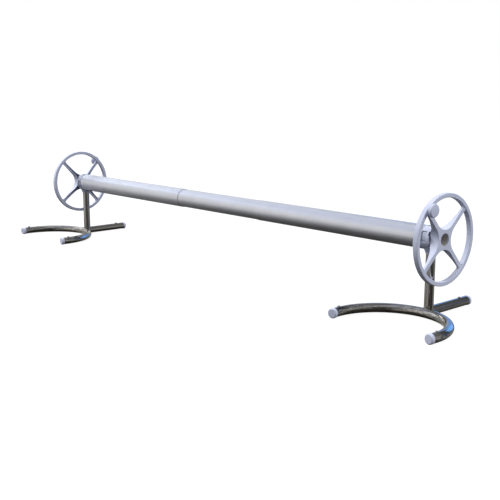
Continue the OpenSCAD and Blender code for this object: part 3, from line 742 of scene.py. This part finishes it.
WITHIN_SKIN = 0.001
AXLE_BORE = (*REEL_AXIS, (axle_high.y - axle_low.y) / 2 - WITHIN_SKIN)
steel_x = stainless("stainless_along_x", lambda tree: along_axis(tree, "X"), AXLE_BORE)
steel_y = stainless("stainless_along_y", lambda tree: along_axis(tree, "Y"))
steel_z = stainless("stainless_along_z", lambda tree: along_axis(tree, "Z"))
anodised = drawn_metal(
    "anodised_aluminium", lambda tree: along_axis(tree, "X"),
    (0.83, 0.86, 0.95, 1), (0.87, 0.90, 0.99, 1),
    gloss=0.40, spread=0.05, bump_height=0.00002, fineness=500.0,
)
zinc = drawn_metal(
    "zinc_plate", lambda tree: along_axis(tree, "Z"), (0.52, 0.53, 0.55, 1), (0.66, 0.67, 0.69, 1),
    gloss=0.28, spread=0.15, bump_height=0.00005, fineness=900.0,
)
print("metals ready")

# %% [markdown]
# Each solid gets its finish by its name, which starts with its side. The roller's middle tube
# counts as one more tube, and what isn't listed is a screw, bolt, nut or spindle, in zinc. The
# bow's material needs the bend's centre and radius, which come from its own box: it is widest at
# its sides and furthest back at its apex.

# %% Finishes on the solids
FINISHES = {
    "post": steel_z, "leg": steel_y, "axle": steel_x, "tube": anodised,
    "handwheel": lavender, "knob": lavender, "knob_plug": lavender, "housing": shaded_housing_plastic,
    "end_plug": lavender, "foot_caps": cap_plastic,
    "bush": bearing_plastic, "inner_washer": bearing_plastic, "outer_washer": bearing_plastic,
}
SIDES = ("right", "left")


def tube_radius(side):
    """Radius of a stand's tubes, which are all of one size, from its post."""
    low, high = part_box(f"{side}_post")
    return (high.x - low.x) / 2


def bend(side):
    """Centre and centreline radius of a bow."""
    low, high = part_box(f"{side}_bow")
    radius = (high.x - low.x) / 2 - tube_radius(side)
    depth = high.y - tube_radius(side) - radius
    return Vector(((low.x + high.x) / 2, depth, (low.z + high.z) / 2)), radius


def finish_of(name):
    """The material for a node, by what follows its side."""
    side, part = name.split("_", 1)
    if part == "bow":
        centre, radius = bend(side)
        return stainless(f"stainless_{name}", lambda tree: along_bend(tree, centre, radius))
    return FINISHES.get(part, zinc)


for name, piece in nodes.items():
    piece.data.materials.clear()
    piece.data.materials.append(finish_of(name))
print("finished", len(nodes), "solids")

# %% [markdown]
# Each stand is welded where its tubes meet: round the post's foot, which is cut to sit on the leg,
# and round the leg's front end, which is cut to fit the bow. The solids meet there in a hair-thin
# line, and the bead is swept along it. The line needs no measuring: on a round tube, the height or
# depth at each angle follows from the tubes' radii. Its corners are eased, because the torch goes
# round them in a curve.

# %% Weld paths
WELD_STEPS = 128


def post_seam(side):
    """Points round the foot of a post, where it meets the leg and the bow."""
    centre, bow_radius = bend(side)
    low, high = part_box(f"{side}_post")
    radius = tube_radius(side)
    x0, y0 = (low.x + high.x) / 2, (low.y + high.y) / 2
    points = []
    for k in range(WELD_STEPS):
        angle = 2 * math.pi * k / WELD_STEPS
        x, y = radius * math.cos(angle), radius * math.sin(angle)
        off_bow = math.hypot(x, y0 + y - centre.y) - bow_radius
        above_leg = abs(y)
        above_bow = math.sqrt(max(radius ** 2 - off_bow ** 2, 0))
        points.append(Vector((x0 + x, y0 + y, max(centre.z + max(above_leg, above_bow), low.z))))
    return points


def eased(points, rounds):
    """The same loop with each corner eased, as a torch rounds it."""
    for _ in range(rounds):
        count = len(points)
        points = [
            (points[k - 1] + 2 * points[k] + points[(k + 1) % count]) / 4
            for k in range(count)
        ]
    return points


def leg_seam(side):
    """Points round the front end of a leg, where it meets the bow."""
    centre, bow_radius = bend(side)
    radius = tube_radius(side)
    points = []
    for k in range(WELD_STEPS):
        angle = 2 * math.pi * k / WELD_STEPS
        x, z = radius * math.cos(angle), radius * math.sin(angle)
        y = math.sqrt((bow_radius + abs(x)) ** 2 - x ** 2)
        points.append(Vector((centre.x + x, centre.y + y, centre.z + z)))
    return points


heights = [point.z for point in post_seam("right")]
print("post seam rises", round(max(heights) - min(heights), 4), "m")

# %% [markdown]
# The bead's section is a ring of eight points, turned to stand across the path at each step. Its
# thickness goes up and down a little: a quick ripple from dab to dab, and a slow swell round the
# joint.

# %% Weld beads
BEAD_RADIUS = 0.0018
BEAD_SIDES = 8
RIPPLE, RIPPLE_PACE = 0.14, 2.1
SWELL, SWELL_PACE = 0.08, 0.37
LEANING_UP = Vector((0.3, 0.2, 1))
GROUND_FLUSH = 0.0004
EASING_ROUNDS = 2


def bead(shape, points):
    """Adds a closed, rippled tube along a loop of points, ground flush where the floor is near."""
    count = len(points)
    rings = []
    for k, point in enumerate(points):
        ahead = (points[(k + 1) % count] - points[k - 1]).normalized()
        across = ahead.cross(LEANING_UP).normalized()
        up = across.cross(ahead)
        dab = RIPPLE * math.sin(k * RIPPLE_PACE) + SWELL * math.sin(k * SWELL_PACE)
        thick = BEAD_RADIUS * (1 + dab)
        ring = []
        for j in range(BEAD_SIDES):
            turn = 2 * math.pi * j / BEAD_SIDES
            place = point + thick * (across * math.cos(turn) + up * math.sin(turn))
            place.z = max(place.z, GROUND_FLUSH)
            ring.append(shape.verts.new(place))
        rings.append(ring)
    for k in range(count):
        here, there = rings[k], rings[(k + 1) % count]
        for j in range(BEAD_SIDES):
            n = (j + 1) % BEAD_SIDES
            shape.faces.new((here[j], here[n], there[n], there[j]))


def weld_metal():
    """Raw weld: duller and browner than the tube, uneven in tone."""
    material, tree = new_material("weld_bead")
    body = use(tree, drift, Tone_A=(0.30, 0.27, 0.24, 1), Tone_B=(0.50, 0.47, 0.44, 1), Scale=120.0)
    texture = use(tree, grain, Scale=900.0, Gloss=0.34, Spread=0.2)
    bump = put(tree, "Bump", {"Strength": 0.3, "Distance": 0.0002})
    join(tree, texture.outputs["Height"], bump.inputs["Height"])
    shader = put(tree, "BsdfPrincipled", {"Metallic": 1.0})
    join(tree, body.outputs["Color"], shader.inputs["Base Color"])
    join(tree, texture.outputs["Roughness"], shader.inputs["Roughness"])
    join(tree, bump.outputs[0], shader.inputs["Normal"])
    join(tree, shader.outputs[0], put(tree, "OutputMaterial").inputs["Surface"])
    return material


weld = weld_metal()
for side in SIDES:
    shape = bmesh.new()
    for seam in (post_seam, leg_seam):
        bead(shape, eased(seam(side), EASING_ROUNDS))
    bmesh.ops.recalc_face_normals(shape, faces=shape.faces)
    mesh = bpy.data.meshes.new(f"{side}_weld_seams")
    shape.to_mesh(mesh)
    shape.free()
    mesh.shade_smooth()
    mesh.materials.append(weld)
    seams = bpy.data.objects.new(f"{side}_weld_seams", mesh)
    bpy.context.scene.collection.objects.link(seams)
    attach(seams, f"{side}_stand")
    print(seams.name, len(mesh.polygons), "faces")
